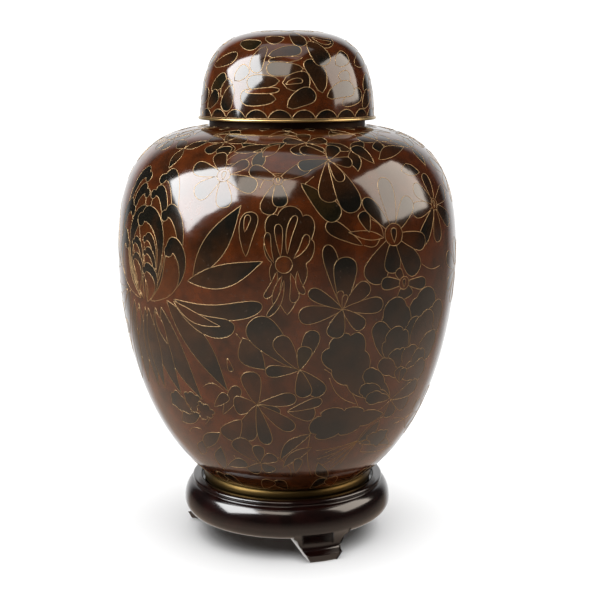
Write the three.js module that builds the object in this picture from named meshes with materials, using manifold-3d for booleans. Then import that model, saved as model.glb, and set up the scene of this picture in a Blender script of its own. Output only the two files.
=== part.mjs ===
// A cloisonne cremation urn: an enamelled copper jar with a domed lid that lifts off, brass bands at
// the lid's edge and at the jar's foot, and a turned wooden stand on three feet.
// Millimetres, +Z up. The origin is on the urn's axis, in the plane that the stand's feet rest on.
// The front of the urn faces -Y.
import * as THREE from "three";
import { mergeVertices } from "three/addons/utils/BufferGeometryUtils.js";
import Module from "manifold-3d";

// Facets round a full turn, and along a curved stretch of an outline
const TURN_FACETS = 44;
const JAR_STEPS = 10;
const LID_STEPS = 9;
const BEAD_STEPS = 3;

// Driving dimensions of the jar, with the reach of its curves' handles as (radius, height)
const JAR_RADIUS = 90;
const JAR_WIDEST_Z = 155.3;
const JAR_BASE_RADIUS = 45.2;
const JAR_BASE_Z = 36.4;
const JAR_BASE_HANDLE = new THREE.Vector2(39.7, 30.9);
const JAR_WALL = 2.4;
const JAR_BASE_RECESS = 1.6;
const FLANK_HANDLE = 20.9;
const SHOULDER_HANDLE = 52.8;
const NECK_RADIUS = 41;
const NECK_BASE_Z = 222.9;
const NECK_BASE_HANDLE = new THREE.Vector2(29.2, -2.9);
const FLOOR_FILLET = 3;

// Driving dimensions of the lid, measured on its outside
const LID_TOP_Z = 271.6;
const LID_EDGE_RADIUS = 45.8;
const LID_EDGE_Z = 227.4;
const LID_CROWN_HANDLE = 28.4;
const LID_EDGE_HANDLE = new THREE.Vector2(-1.4, 40.7);
const LID_WALL = 2;
const LID_SEAT_GAP = 0.3;

// The brass bands
const LID_BAND_RADIUS = 46.7;
const LID_BAND_HEIGHT = 1.3;
const FOOT_BAND_RADIUS = 46;
const BAND_WIDTH = 3.4;
const BAND_BULGE = 0.35;

// The stand: a moulding, fuller below than above, under a raised collar, with a seat for the jar's foot
const SEAT_Z = 29.6;
const SEAT_RADIUS = 47;
const COLLAR_RADIUS = 52.2;
const COLLAR_Z = 32.4;
const COLLAR_EDGE = 1.2;
const MOULDING_CENTRE = new THREE.Vector2(50.9, 19);
const MOULDING_REACH = 5.7;
const MOULDING_RISE = 10.5;
const MOULDING_DROP = 6.4;
const MOULDING_TOP_ANGLE = THREE.MathUtils.degToRad(76);
const GROOVE_RADIUS = 50.9;
const UNDERSIDE_Z = MOULDING_CENTRE.y - MOULDING_DROP;

// The stand's feet, not quite a third of a turn apart, with bearings round from the front towards +X
const FOOT_BEARINGS = [20.2, 135.1, 250].map(THREE.MathUtils.degToRad);
const FOOT_KNEE_ANGLE = THREE.MathUtils.degToRad(-40);
const FOOT_WAIST = new THREE.Vector2(52, 7.4);
const TOE_EDGE = new THREE.Vector2(56.6, 4.3);
const TOE_BOTTOM_RADIUS = 55.2;
const FOOT_INNER_TOP_RADIUS = 39;
const FOOT_INNER_BOTTOM_RADIUS = 45;
const FOOT_BOTTOM_HALF_WIDTH = 7.3;
const FOOT_TOP_HALF_WIDTH = 13.2;
const FOOT_FLARE = 2.6;
const FOOT_FLARE_DROP = 2.5;
const FOOT_ROOT = 3;

const ENAMEL = { color: 0x4a2412, roughness: 0.12, metalness: 0 };
const BRASS = { color: 0xb5883f, roughness: 0.3, metalness: 1 };
const WOOD = { color: 0x24100d, roughness: 0.16, metalness: 0 };

const wasm = await Module();
wasm.setup();

const point = (radius, z) => new THREE.Vector2(radius, z);

// The closed outline turned round the axis, with the outline's second coordinate upright
function turned(outline) {
  return new THREE.LatheGeometry(outline, TURN_FACETS).rotateX(Math.PI / 2);
}

// The points of a cubic curve and, a wall's thickness to its right, the points of its inner face.
// The curves here run from the axis or the neck outwards and down, so the right is the inside.
function wallAlong(curve, steps, wall) {
  const outer = curve.getPoints(steps);
  const inner = outer.map((p, i) => {
    const along = curve.getTangent(i / steps);
    return point(p.x + along.y * wall, p.y - along.x * wall);
  });
  return { outer, inner };
}

// Where a falling outline reaches the given radius
function heightAtRadius(outline, radius) {
  const next = outline.findIndex((p) => p.x >= radius);
  const [a, b] = [outline[next - 1], outline[next]];
  return THREE.MathUtils.mapLinear(radius, a.x, b.x, a.y, b.y);
}

function solidOf(geometry) {
  const bare = geometry.clone();
  bare.deleteAttribute("normal");
  bare.deleteAttribute("uv");
  const merged = mergeVertices(bare, 1e-4);
  const mesh = new wasm.Mesh({
    numProp: 3,
    vertProperties: new Float32Array(merged.attributes.position.array),
    triVerts: new Uint32Array(merged.index.array),
  });
  return new wasm.Manifold(mesh);
}

function geometryOf(solid) {
  const mesh = solid.getMesh();
  const geometry = new THREE.BufferGeometry();
  geometry.setAttribute("position", new THREE.BufferAttribute(mesh.vertProperties, 3));
  geometry.setIndex(new THREE.BufferAttribute(mesh.triVerts, 1));
  geometry.computeVertexNormals();
  return geometry;
}

function named(name, geometry, finish) {
  const mesh = new THREE.Mesh(geometry, new THREE.MeshStandardMaterial(finish));
  mesh.name = name;
  return mesh;
}

// The lid's dome, from its crown to its edge
const lidCurve = new THREE.CubicBezierCurve(
  point(0, LID_TOP_Z),
  point(LID_CROWN_HANDLE, LID_TOP_Z),
  point(LID_EDGE_RADIUS, LID_EDGE_Z).add(LID_EDGE_HANDLE),
  point(LID_EDGE_RADIUS, LID_EDGE_Z),
);
const lidWall = wallAlong(lidCurve, LID_STEPS, LID_WALL);

// The lid hangs on the neck's rim, where the inside of its dome is as wide as the neck
const neckTopZ = heightAtRadius(lidWall.inner, NECK_RADIUS) - LID_SEAT_GAP;

// The jar's shoulder, from the neck to the widest place, and its flank from there to the foot
const shoulderCurve = new THREE.CubicBezierCurve(
  point(NECK_RADIUS, NECK_BASE_Z),
  point(NECK_RADIUS, NECK_BASE_Z).add(NECK_BASE_HANDLE),
  point(JAR_RADIUS, JAR_WIDEST_Z + SHOULDER_HANDLE),
  point(JAR_RADIUS, JAR_WIDEST_Z),
);
const flankCurve = new THREE.CubicBezierCurve(
  point(JAR_RADIUS, JAR_WIDEST_Z),
  point(JAR_RADIUS, JAR_WIDEST_Z - FLANK_HANDLE),
  point(JAR_BASE_RADIUS, JAR_BASE_Z).add(JAR_BASE_HANDLE),
  point(JAR_BASE_RADIUS, JAR_BASE_Z),
);

function jarGeometry() {
  const shoulder = wallAlong(shoulderCurve, JAR_STEPS, JAR_WALL);
  const flank = wallAlong(flankCurve, JAR_STEPS, JAR_WALL);
  const undersideZ = JAR_BASE_Z + JAR_BASE_RECESS;
  const floorZ = undersideZ + JAR_WALL;
  const inner = [...shoulder.inner.slice(1), ...flank.inner.slice(1)].filter((p) => p.y > floorZ);
  const bandInnerRadius = FOOT_BAND_RADIUS - BAND_WIDTH;
  const outside = [
    point(0, undersideZ),
    point(bandInnerRadius - JAR_BASE_RECESS, undersideZ),
    point(bandInnerRadius, JAR_BASE_Z),
    ...flank.outer.toReversed(),
    ...shoulder.outer.toReversed().slice(1),
    point(NECK_RADIUS, neckTopZ),
  ];
  const inside = [
    point(NECK_RADIUS - JAR_WALL, neckTopZ),
    point(NECK_RADIUS - JAR_WALL, NECK_BASE_Z - JAR_WALL),
    ...inner,
    point(inner.at(-1).x - FLOOR_FILLET, floorZ),
    point(0, floorZ),
  ];
  return turned([...outside, ...inside]);
}

function lidGeometry() {
  const { outer, inner } = lidWall;
  const edge = point(LID_EDGE_RADIUS - LID_WALL, LID_EDGE_Z);
  const inside = [...inner.slice(0, -1), edge];
  return turned([...inside, ...outer.toReversed()]);
}

// A brass band whose outside is a bead and whose inside is plain
function bandGeometry(outerRadius, bottomZ, height) {
  const bulge = BAND_BULGE * height;
  const innerRadius = outerRadius - BAND_WIDTH;
  const outline = new THREE.Path();
  outline.moveTo(innerRadius, bottomZ);
  outline.lineTo(outerRadius - bulge, bottomZ);
  outline.absellipse(
    outerRadius - bulge, bottomZ + height / 2, bulge, height / 2, -Math.PI / 2, Math.PI / 2, false,
  );
  outline.lineTo(innerRadius, bottomZ + height);
  outline.lineTo(innerRadius, bottomZ);
  return turned(outline.getPoints(BEAD_STEPS));
}

// The turned disc of the stand: moulding, groove, collar and seat
function discSolid() {
  const { x: centre, y: middle } = MOULDING_CENTRE;
  const outline = new THREE.Path();
  outline.moveTo(0, UNDERSIDE_Z);
  outline.lineTo(centre, UNDERSIDE_Z);
  outline.absellipse(centre, middle, MOULDING_REACH, MOULDING_DROP, -Math.PI / 2, 0, false);
  outline.absellipse(centre, middle, MOULDING_REACH, MOULDING_RISE, 0, MOULDING_TOP_ANGLE, false);
  outline.quadraticCurveTo(GROOVE_RADIUS, middle + MOULDING_RISE, COLLAR_RADIUS, COLLAR_Z - COLLAR_EDGE);
  outline.quadraticCurveTo(COLLAR_RADIUS, COLLAR_Z, COLLAR_RADIUS - COLLAR_EDGE, COLLAR_Z);
  outline.lineTo(SEAT_RADIUS + COLLAR_EDGE, COLLAR_Z);
  outline.quadraticCurveTo(SEAT_RADIUS, COLLAR_Z, SEAT_RADIUS, COLLAR_Z - COLLAR_EDGE);
  outline.lineTo(SEAT_RADIUS, SEAT_Z);
  outline.lineTo(0, SEAT_Z);
  return solidOf(turned(outline.getPoints(BEAD_STEPS)));
}

// The ring that the feet are left from: its outside leaves the moulding without a crease at the knee,
// and falls to a hollow ankle over a toe that turns out
function footRingSolid() {
  const top = MOULDING_CENTRE.y;
  const knee = point(Math.cos(FOOT_KNEE_ANGLE), Math.sin(FOOT_KNEE_ANGLE))
    .multiply(point(MOULDING_REACH, MOULDING_DROP))
    .add(MOULDING_CENTRE);
  const kneeSlope = MOULDING_DROP / (-MOULDING_REACH * Math.tan(FOOT_KNEE_ANGLE));
  const kneePullZ = knee.y - kneeSlope * (knee.x - FOOT_WAIST.x);
  const outline = new THREE.Path();
  outline.moveTo(FOOT_INNER_TOP_RADIUS, top);
  outline.lineTo(FOOT_INNER_TOP_RADIUS, UNDERSIDE_Z);
  outline.lineTo(FOOT_INNER_BOTTOM_RADIUS, 0);
  outline.lineTo(TOE_BOTTOM_RADIUS, 0);
  outline.lineTo(TOE_EDGE.x, TOE_EDGE.y);
  outline.quadraticCurveTo(FOOT_WAIST.x, TOE_EDGE.y, FOOT_WAIST.x, FOOT_WAIST.y);
  outline.quadraticCurveTo(FOOT_WAIST.x, kneePullZ, knee.x, knee.y);
  outline.lineTo(MOULDING_CENTRE.x, top);
  outline.lineTo(FOOT_INNER_TOP_RADIUS, top);
  return solidOf(turned(outline.getPoints(BEAD_STEPS)));
}

// One foot's outline seen from outside: tapered, with flared corners where it meets the disc.
// The prism through it runs out from the axis, and is turned from the front towards +X.
function footPrismSolid(bearing) {
  const flareStart = UNDERSIDE_Z - FOOT_FLARE_DROP;
  const flareEnd = FOOT_TOP_HALF_WIDTH + FOOT_FLARE;
  const top = UNDERSIDE_Z + FOOT_ROOT;
  const outline = new THREE.Shape();
  outline.moveTo(FOOT_BOTTOM_HALF_WIDTH, 0);
  outline.lineTo(FOOT_TOP_HALF_WIDTH, flareStart);
  outline.quadraticCurveTo(FOOT_TOP_HALF_WIDTH, UNDERSIDE_Z, flareEnd, UNDERSIDE_Z);
  outline.lineTo(flareEnd, top);
  outline.lineTo(-flareEnd, top);
  outline.lineTo(-flareEnd, UNDERSIDE_Z);
  outline.quadraticCurveTo(-FOOT_TOP_HALF_WIDTH, UNDERSIDE_Z, -FOOT_TOP_HALF_WIDTH, flareStart);
  outline.lineTo(-FOOT_BOTTOM_HALF_WIDTH, 0);
  const prism = new THREE.ExtrudeGeometry(outline, {
    depth: TOE_EDGE.x + FOOT_ROOT,
    bevelEnabled: false,
    curveSegments: BEAD_STEPS,
  });
  return solidOf(prism.rotateX(Math.PI / 2).rotateZ(bearing));
}

function standGeometry() {
  let stand = discSolid();
  for (const bearing of FOOT_BEARINGS) {
    stand = stand.add(footRingSolid().intersect(footPrismSolid(bearing)));
  }
  return geometryOf(stand);
}

const urn = new THREE.Group();
urn.add(
  named("stand", standGeometry(), WOOD),
  named("foot_band", bandGeometry(FOOT_BAND_RADIUS, SEAT_Z, JAR_BASE_Z - SEAT_Z), BRASS),
  named("jar", jarGeometry(), ENAMEL),
  named("lid_band", bandGeometry(LID_BAND_RADIUS, LID_EDGE_Z - LID_BAND_HEIGHT, LID_BAND_HEIGHT), BRASS),
  named("lid", lidGeometry(), ENAMEL),
);

export default urn;
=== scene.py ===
"""Looks of a cloisonne cremation urn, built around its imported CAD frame.

Sizes are in millimetres, and bearings in degrees round from the front (-Y) towards +X.
MM turns millimetres into the scene's metres.
"""

import math
from collections import namedtuple

import bpy
import numpy as np
from mathutils import Matrix, Vector
from mathutils.geometry import delaunay_2d_cdt


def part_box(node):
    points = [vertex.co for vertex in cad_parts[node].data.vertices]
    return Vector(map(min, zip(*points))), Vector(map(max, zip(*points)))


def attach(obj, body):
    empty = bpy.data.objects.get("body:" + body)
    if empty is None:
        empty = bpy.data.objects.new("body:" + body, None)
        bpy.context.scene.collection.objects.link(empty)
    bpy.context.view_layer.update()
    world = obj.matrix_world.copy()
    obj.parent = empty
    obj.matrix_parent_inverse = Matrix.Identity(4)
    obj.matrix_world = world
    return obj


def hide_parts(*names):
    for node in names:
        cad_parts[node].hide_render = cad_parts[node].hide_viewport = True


MM = 0.001
BODY = "root"

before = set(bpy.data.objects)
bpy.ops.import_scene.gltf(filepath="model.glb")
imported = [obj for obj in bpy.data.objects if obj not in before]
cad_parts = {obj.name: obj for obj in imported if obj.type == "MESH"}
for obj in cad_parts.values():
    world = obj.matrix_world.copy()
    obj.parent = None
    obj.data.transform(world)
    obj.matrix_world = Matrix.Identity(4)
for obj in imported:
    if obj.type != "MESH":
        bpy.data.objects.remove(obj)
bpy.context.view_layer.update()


def frame_box(node):
    """Lowest and highest corner of a CAD node, in millimetres."""
    low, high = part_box(node)
    return low / MM, high / MM


# Lowest and highest corners of the solids
JAR_LOW, JAR_HIGH = frame_box("jar")
LID_LOW, LID_HIGH = frame_box("lid")
FOOT_BAND_LOW, FOOT_BAND_HIGH = frame_box("foot_band")
LID_BAND_LOW, LID_BAND_HIGH = frame_box("lid_band")
_, STAND_HIGH = frame_box("stand")

# The jar's outline, with the reach of its curves' handles as (radius, height)
JAR_RADIUS = JAR_HIGH.x
JAR_WIDEST = 155.3
NECK_RADIUS = 41.0
NECK_BASE = 222.9
NECK_HANDLE = (29.2, -2.9)
SHOULDER_HANDLE = (0.0, 52.8)
FLANK_HANDLE = (0.0, -20.9)
JAR_BASE_RADIUS = 45.2
JAR_BASE_HANDLE = (39.7, 30.9)
JAR_WALL = 2.4
JAR_BASE_RECESS = 1.6
NECK_LIP = 0.5

# The lid's outline
LID_CROWN_HANDLE = (28.4, 0.0)
LID_EDGE_HANDLE = (-1.4, 40.7)
LID_WALL = 2.0

# The bands
BAND_WIDTH = 3.4
BAND_BULGE = 0.35

# The stand
SEAT_HEIGHT = FOOT_BAND_LOW.z
SEAT_RADIUS = 47.0
COLLAR_RADIUS = 52.2
COLLAR_EDGE = 1.2
MOULDING_RADIUS = 50.9
MOULDING_HEIGHT = 19.0
MOULDING_REACH = 5.7
MOULDING_RISE = 10.5
MOULDING_DROP = 6.4
MOULDING_TOP_ANGLE = 76.0
GROOVE_RADIUS = 50.9
UNDERSIDE = MOULDING_HEIGHT - MOULDING_DROP
FOOT_BEARINGS = (20.2, 135.1, 250.0)
FOOT_KNEE_ANGLE = -40.0
FOOT_WAIST = (52.0, 7.4)
TOE_EDGE = (56.6, 4.3)
TOE_BOTTOM_RADIUS = 55.2
FOOT_INNER_TOP_RADIUS = 39.0
FOOT_INNER_BOTTOM_RADIUS = 45.0
FOOT_BOTTOM_HALF_WIDTH = 7.3
FOOT_TOP_HALF_WIDTH = 13.2
FOOT_FLARE = 2.6
FOOT_FLARE_DROP = 2.5
FOOT_EDGE = 0.5

# Fineness of the meshes, in points and facets
CURVE_STEPS = 400
RING_FACETS = 180
INNER_STEP = 16
MOULDING_STEPS = 17
BEAD_STEPS = 13
EDGE_STEPS = 7
BEND_STEPS = 9
FOOT_FACETS = 13

# Fineness of the meshes, in millimetres and degrees
GRID = 4.0
LINE_STEP = 1.1
WIRE_STEP = 0.12
MERGE = 0.02
AXIS_GAP = 0.01
SHARP_ANGLE = 40.0
BAND_SHARP_ANGLE = 35.0

# Room that a pattern leaves at its edges and round a crown, and inside the jar's flat ring
EDGE_MARGIN = 0.4
CROWN_MARGIN = 1.0
JAR_ROOM = 60.0

# Cloisonne wire: a low ridge standing just proud of the enamel
JAR_WIRE = 0.42
LID_WIRE = 0.56
WIRE_PROUD = 0.10
WIRE_SINK = 0.06


# Turned outlines

def cubic(start, start_handle, end_handle, end, steps=CURVE_STEPS):
    """Points of a cubic curve whose handles are given from its ends."""
    a, d = np.array(start, float), np.array(end, float)
    b, c = a + start_handle, d + end_handle
    t = np.linspace(0.0, 1.0, steps)[:, None]
    return (1 - t) ** 3 * a + 3 * (1 - t) ** 2 * t * b + 3 * (1 - t) * t**2 * c + t**3 * d


def arc(centre, radii, start, end, steps):
    """Points of an elliptic arc between two angles in degrees."""
    angle = np.radians(np.linspace(start, end, steps))
    return np.column_stack([centre[0] + radii[0] * np.cos(angle), centre[1] + radii[1] * np.sin(angle)])


class Outline:
    """A turned outline that runs outwards and down, measured along its run."""

    def __init__(self, points):
        self.points = points
        steps = np.linalg.norm(np.diff(points, axis=0), axis=1)
        self.runs = np.concatenate([[0.0], np.cumsum(steps)])
        tangent = np.gradient(points, self.runs, axis=0)
        tangent /= np.linalg.norm(tangent, axis=1)[:, None]
        self.outward = np.column_stack([-tangent[:, 1], tangent[:, 0]])

    def radius(self, runs):
        return np.interp(runs, self.runs, self.points[:, 0])

    def place(self, bearings, runs):
        """Positions and outward normals at bearings in radians and runs in millimetres."""
        radius, height, out, up = (
            np.interp(runs, self.runs, column)
            for column in (*self.points.T, *self.outward.T)
        )
        sine, cosine = np.sin(bearings), np.cos(bearings)
        positions = np.column_stack([radius * sine, -radius * cosine, height])
        normals = np.column_stack([out * sine, -out * cosine, up])
        return positions, normals


def inside_of(outline, wall):
    """Points of the inner face of a wall under an outline."""
    return outline.points - wall * outline.outward


shoulder = cubic((NECK_RADIUS, NECK_BASE), NECK_HANDLE, SHOULDER_HANDLE, (JAR_RADIUS, JAR_WIDEST))
flank = cubic((JAR_RADIUS, JAR_WIDEST), FLANK_HANDLE, JAR_BASE_HANDLE, (JAR_BASE_RADIUS, JAR_LOW.z))
jar_outline = Outline(np.vstack([shoulder, flank[1:]]))
JAR_WIDEST_RUN = jar_outline.runs[CURVE_STEPS - 1]

lid_outline = Outline(
    cubic((0.0, LID_HIGH.z), LID_CROWN_HANDLE, LID_EDGE_HANDLE, (LID_HIGH.x, LID_LOW.z))
)


# Enamel colours, as a pair that a cell runs between from its root to its tip

Glaze = namedtuple("Glaze", "root tip")

RUST = Glaze((0.044, 0.0098, 0.0018), (0.0085, 0.0034, 0.0013))
SOOT = Glaze((0.017, 0.0064, 0.0020), (0.0034, 0.0029, 0.0019))
MOSS = Glaze((0.012, 0.0064, 0.0017), (0.0045, 0.0036, 0.0014))
BARK = Glaze((0.024, 0.0070, 0.0018), (0.0080, 0.0035, 0.0014))
AMBER = Glaze((0.040, 0.0100, 0.0017), (0.026, 0.0072, 0.0017))


# Flat shapes, growing along x from their root

def round_ended(t):
    return t**0.7 * np.sqrt(1 - t**6) / 0.83


def pointed(t):
    return np.sin(math.pi * t**0.9)


def finger(t):
    return np.sqrt(1 - (1 - t) ** 2) * np.sqrt(1 - t**8)


def petal(reach, width, form=round_ended, bend=0.0):
    """Outline of a petal whose heading turns by some degrees on its way."""
    steps = max(9, int(reach / LINE_STEP))
    t = np.sin(np.linspace(0.0, math.pi / 2, steps))
    heading = np.radians(bend * t)
    along = np.column_stack([np.cos(heading), np.sin(heading)])
    across = np.column_stack([-along[:, 1], along[:, 0]])
    axis = reach * np.cumsum(along * np.diff(t, prepend=0.0)[:, None], axis=0)
    half = 0.5 * width * np.maximum(form(t), 0.0)[:, None]
    left, right = axis + half * across, axis - half * across
    return np.vstack([right, left[-2:0:-1]])


def evenly(outline):
    """The closed outline with its points an even step apart."""
    closed = np.vstack([outline, outline[:1]])
    runs = np.concatenate([[0.0], np.cumsum(np.linalg.norm(np.diff(closed, axis=0), axis=1))])
    at = np.linspace(0.0, runs[-1], max(8, int(runs[-1] / LINE_STEP)), endpoint=False)
    return np.column_stack([np.interp(at, runs, closed[:, 0]), np.interp(at, runs, closed[:, 1])])


# Lobes fade in over a share of the outline, and cut inwards by a share of their depth
LOBE_FADE = 0.12
LOBE_INSET = 0.6


def scalloped(outline, lobes, depth):
    """The outline with round lobes all along it but at its root."""
    outline = evenly(outline)
    share = np.arange(len(outline)) / len(outline)
    outward = outline - outline.mean(axis=0)
    outward /= np.linalg.norm(outward, axis=1)[:, None]
    fade = np.clip(np.minimum(share, 1 - share) / LOBE_FADE, 0.0, 1.0)
    swell = depth * (np.sqrt(np.abs(np.sin(math.pi * lobes * share))) - LOBE_INSET)
    return outline + (swell * fade)[:, None] * outward


def disc(radius):
    steps = max(10, int(2 * math.pi * radius / LINE_STEP))
    return arc((0.0, 0.0), (radius, radius), 0.0, 360.0, steps + 1)[:-1]


# The pattern: enamel cells on a turned outline, with a wire wherever two cells meet

Cell = namedtuple("Cell", "places glaze root turn reach owner")
GROUND = -1


class Pattern:
    """Cells, and strokes on the ground between them, laid on an outline.

    A later cell covers an earlier one, and a cell with another's number as its owner joins that one.

    A spot is (bearing, level), with the level in millimetres up the outline from its zero run.
    The triangles are found on a flat ring whose radius is the run plus some room round the middle.
    """

    def __init__(self, outline, zero_run, room):
        self.outline = outline
        self.zero_run = zero_run
        self.room = room
        self.span = (EDGE_MARGIN if room else CROWN_MARGIN, outline.runs[-1] - EDGE_MARGIN)
        self.cells = []
        self.strokes = []

    def lay(self, spot, turn, shape):
        """Bearings and runs of a flat shape laid at a spot and turned anticlockwise."""
        cosine, sine = math.cos(math.radians(turn)), math.sin(math.radians(turn))
        x = cosine * shape[:, 0] - sine * shape[:, 1]
        y = sine * shape[:, 0] + cosine * shape[:, 1]
        runs = np.clip(self.zero_run - spot[1] - y, *self.span)
        bearings = math.radians(spot[0]) + x / self.outline.radius(runs)
        return np.column_stack([bearings, runs])

    def cell(self, spot, turn, shape, glaze, reach, owner=None):
        owner = len(self.cells) if owner is None else owner
        self.cells.append(Cell(self.lay(spot, turn, shape), glaze, spot, math.radians(turn), reach, owner))

    def stroke(self, spot, turn, line):
        self.strokes.append(self.lay(spot, turn, line))

    def flat(self, places):
        ring = self.room + places[:, 1]
        return np.column_stack([ring * np.sin(places[:, 0]), -ring * np.cos(places[:, 0])])

    def unflat(self, points):
        bearings = np.arctan2(points[:, 0], -points[:, 1])
        return np.column_stack([bearings, np.hypot(points[:, 0], points[:, 1]) - self.room])

    def ring(self, run, count, shift=0.0):
        bearings = (np.arange(count) + shift) * 2 * math.pi / count
        return np.column_stack([bearings, np.full(count, run)])

    def grid(self):
        """Rings of loose points that keep the triangles small."""
        first = 0.0 if self.room else GRID
        runs = np.linspace(first, self.outline.runs[-1], int(self.outline.runs[-1] / GRID))[1:-1]
        for i, run in enumerate(runs):
            count = max(6, int(2 * math.pi * self.outline.radius(run) / GRID))
            yield self.ring(run, count, 0.5 * (i % 2))

    def triangles(self):
        """Cuts the outline into triangles along every cell and stroke, and names each one's cell."""
        points, edges, faces = [], [], []

        def add(places):
            start = len(points)
            points.extend(Vector(p) for p in self.flat(places))
            return range(start, len(points))

        for stroke in self.strokes:
            ids = add(stroke)
            edges.extend(zip(ids[:-1], ids[1:]))
        stroke_edges = len(edges)
        rims = [self.ring(self.outline.runs[-1], RING_FACETS)]
        if self.room:
            rims.append(self.ring(0.0, RING_FACETS))
        rim_ids = [add(rim) for rim in rims]
        for ids in rim_ids:
            edges.extend(zip(ids, (*ids[1:], ids[0])))
        for places in self.grid():
            add(places)
        for cell in self.cells:
            ids = list(add(cell.places))
            corners = self.flat(cell.places)
            turning = np.cross(corners, np.roll(corners, -1, axis=0)).sum()
            faces.append(ids if turning > 0 else ids[::-1])
        verts, edges, faces, from_verts, from_edges, from_faces = delaunay_2d_cdt(
            points, edges, faces, 0, MERGE, True
        )
        places = self.unflat(np.array([tuple(v) for v in verts]))
        kept = [i for i, f in enumerate(faces) if max(places[f, 1]) > MERGE * 2 or not self.room]
        triangles = np.array([faces[i] for i in kept])
        owners = np.array([self.cells[max(from_faces[i])].owner if from_faces[i] else GROUND for i in kept])
        lines = chains(wire_edges(triangles, owners, edges, from_edges, stroke_edges))
        new_id = {old: new for new, olds in enumerate(from_verts) for old in olds}
        rims = [[new_id[i] for i in ids] for ids in rim_ids]
        return places, triangles, owners, lines, rims

    def tones(self, places, corners, owners):
        """How far each triangle corner is from its cell's root (0) to its tip (1)."""
        tones = np.full(corners.shape, 0.5)
        for i, cell in enumerate(self.cells):
            mine = np.flatnonzero(owners == i)
            bearing, run = places[corners[mine]].transpose(2, 0, 1)
            x = (bearing - math.radians(cell.root[0]) + math.pi) % (2 * math.pi) - math.pi
            x *= self.outline.radius(run)
            y = self.zero_run - run - cell.root[1]
            tones[mine] = (x * math.cos(cell.turn) + y * math.sin(cell.turn)) / cell.reach
        return tones


def wire_edges(triangles, owners, edges, from_edges, stroke_edges):
    """Edges where two cells meet, and those of strokes where the ground shows."""
    beside = {}
    for triangle, owner in zip(triangles.tolist(), owners.tolist()):
        for a, b in zip(triangle, triangle[1:] + triangle[:1]):
            beside.setdefault((min(a, b), max(a, b)), []).append(owner)
    wired = {edge for edge, sides in beside.items() if len(set(sides)) == 2}
    for edge, sources in zip(edges, from_edges):
        edge = (min(edge), max(edge))
        if any(source < stroke_edges for source in sources) and GROUND in beside.get(edge, ()):
            wired.add(edge)
    return wired


def chains(edges):
    """Edges joined end to end into lines that stop where three or more meet."""
    near = {}
    for a, b in sorted(edges):
        near.setdefault(a, []).append(b)
        near.setdefault(b, []).append(a)
    unused = set(edges)
    starts = sorted(near, key=lambda v: (len(near[v]) == 2, v))
    lines = []
    for start in starts:
        for follow in near[start]:
            if (min(start, follow), max(start, follow)) not in unused:
                continue
            line = [start, follow]
            unused.discard((min(start, follow), max(start, follow)))
            while len(near[line[-1]]) == 2 and line[-1] != start:
                onward = [v for v in near[line[-1]] if v != line[-2]]
                edge = (min(line[-1], onward[0]), max(line[-1], onward[0])) if onward else None
                if edge not in unused:
                    break
                unused.discard(edge)
                line.append(onward[0])
            lines.append(line)
    return lines


# Meshes

def new_object(name, verts, faces, *materials):
    mesh = bpy.data.meshes.new(name)
    mesh.from_pydata((np.asarray(verts) * MM).tolist(), [], [list(map(int, f)) for f in faces])
    for material in materials:
        mesh.materials.append(material)
    piece = bpy.data.objects.new(name, mesh)
    bpy.context.scene.collection.objects.link(piece)
    return piece


def smooth(piece, angle):
    """Smooth shading, with edges sharper than an angle in degrees left crisp."""
    piece.data.shade_smooth()
    piece.data.set_sharp_from_angle(angle=math.radians(angle))


ride_pieces = []


def stand_for(piece, slot, *nodes):
    """The piece rides with the urn and stands for CAD nodes; its slot is not used."""
    ride_pieces.append(piece)
    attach(piece, BODY)
    for node in nodes:
        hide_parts(node)


def rings(points):
    """Vertices of a turned line, ring by ring."""
    bearings = np.arange(RING_FACETS) * 2 * math.pi / RING_FACETS
    points = np.asarray(points, float)
    x = np.outer(points[:, 0], np.sin(bearings))
    y = -np.outer(points[:, 0], np.cos(bearings))
    z = np.repeat(points[:, 1:2], RING_FACETS, axis=1)
    return np.stack([x, y, z], axis=-1).reshape(-1, 3)


def ring_faces(lower, upper):
    """Quads between two rings of vertex numbers."""
    follow = np.roll(lower, -1), np.roll(upper, -1)
    return np.column_stack([lower, follow[0], follow[1], upper])


def turned(name, outline, material):
    """A mesh turned from a closed outline that runs anticlockwise in (radius, height)."""
    count = len(outline)
    ids = np.arange(count * RING_FACETS).reshape(count, RING_FACETS)
    faces = np.vstack([ring_faces(ids[i], ids[(i + 1) % count]) for i in range(count)])
    return new_object(name, rings(outline), faces, material)


def enamelled(name, pattern, inner, materials):
    """The pattern's skin closed by a plain inner line, as one mesh; also the pattern's wire lines."""
    places, triangles, owners, lines, rims = pattern.triangles()
    skin, normals = pattern.outline.place(*places.T)
    corner = skin[triangles]
    facing = np.einsum("ij,ij->i", np.cross(corner[:, 1] - corner[:, 0], corner[:, 2] - corner[:, 0]),
                       normals[triangles[:, 0]])
    triangles = np.where((facing < 0)[:, None], triangles[:, ::-1], triangles)
    inner_rings = rings(inner)
    loops = [np.array(rims[0])]
    loops += list(np.arange(len(inner_rings)).reshape(-1, RING_FACETS) + len(skin))
    if len(rims) > 1:
        loops.append(np.array(rims[1]))
    shell = np.vstack([ring_faces(upper, lower) for upper, lower in zip(loops, loops[1:])])
    faces = [*triangles, *shell]
    if len(rims) == 1:
        faces.append(loops[-1])
    piece = new_object(name, np.vstack([skin, inner_rings]), faces, *materials)
    paint(piece.data, pattern, places, triangles, owners, normals)
    return piece, [pattern_line(places, line) for line in lines]


def pattern_line(places, line):
    """Bearings and runs along a wire, with no jump in its bearings."""
    spots = places[line]
    bearings = np.unwrap(spots[:, 0])
    return np.column_stack([bearings, spots[:, 1]])


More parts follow.
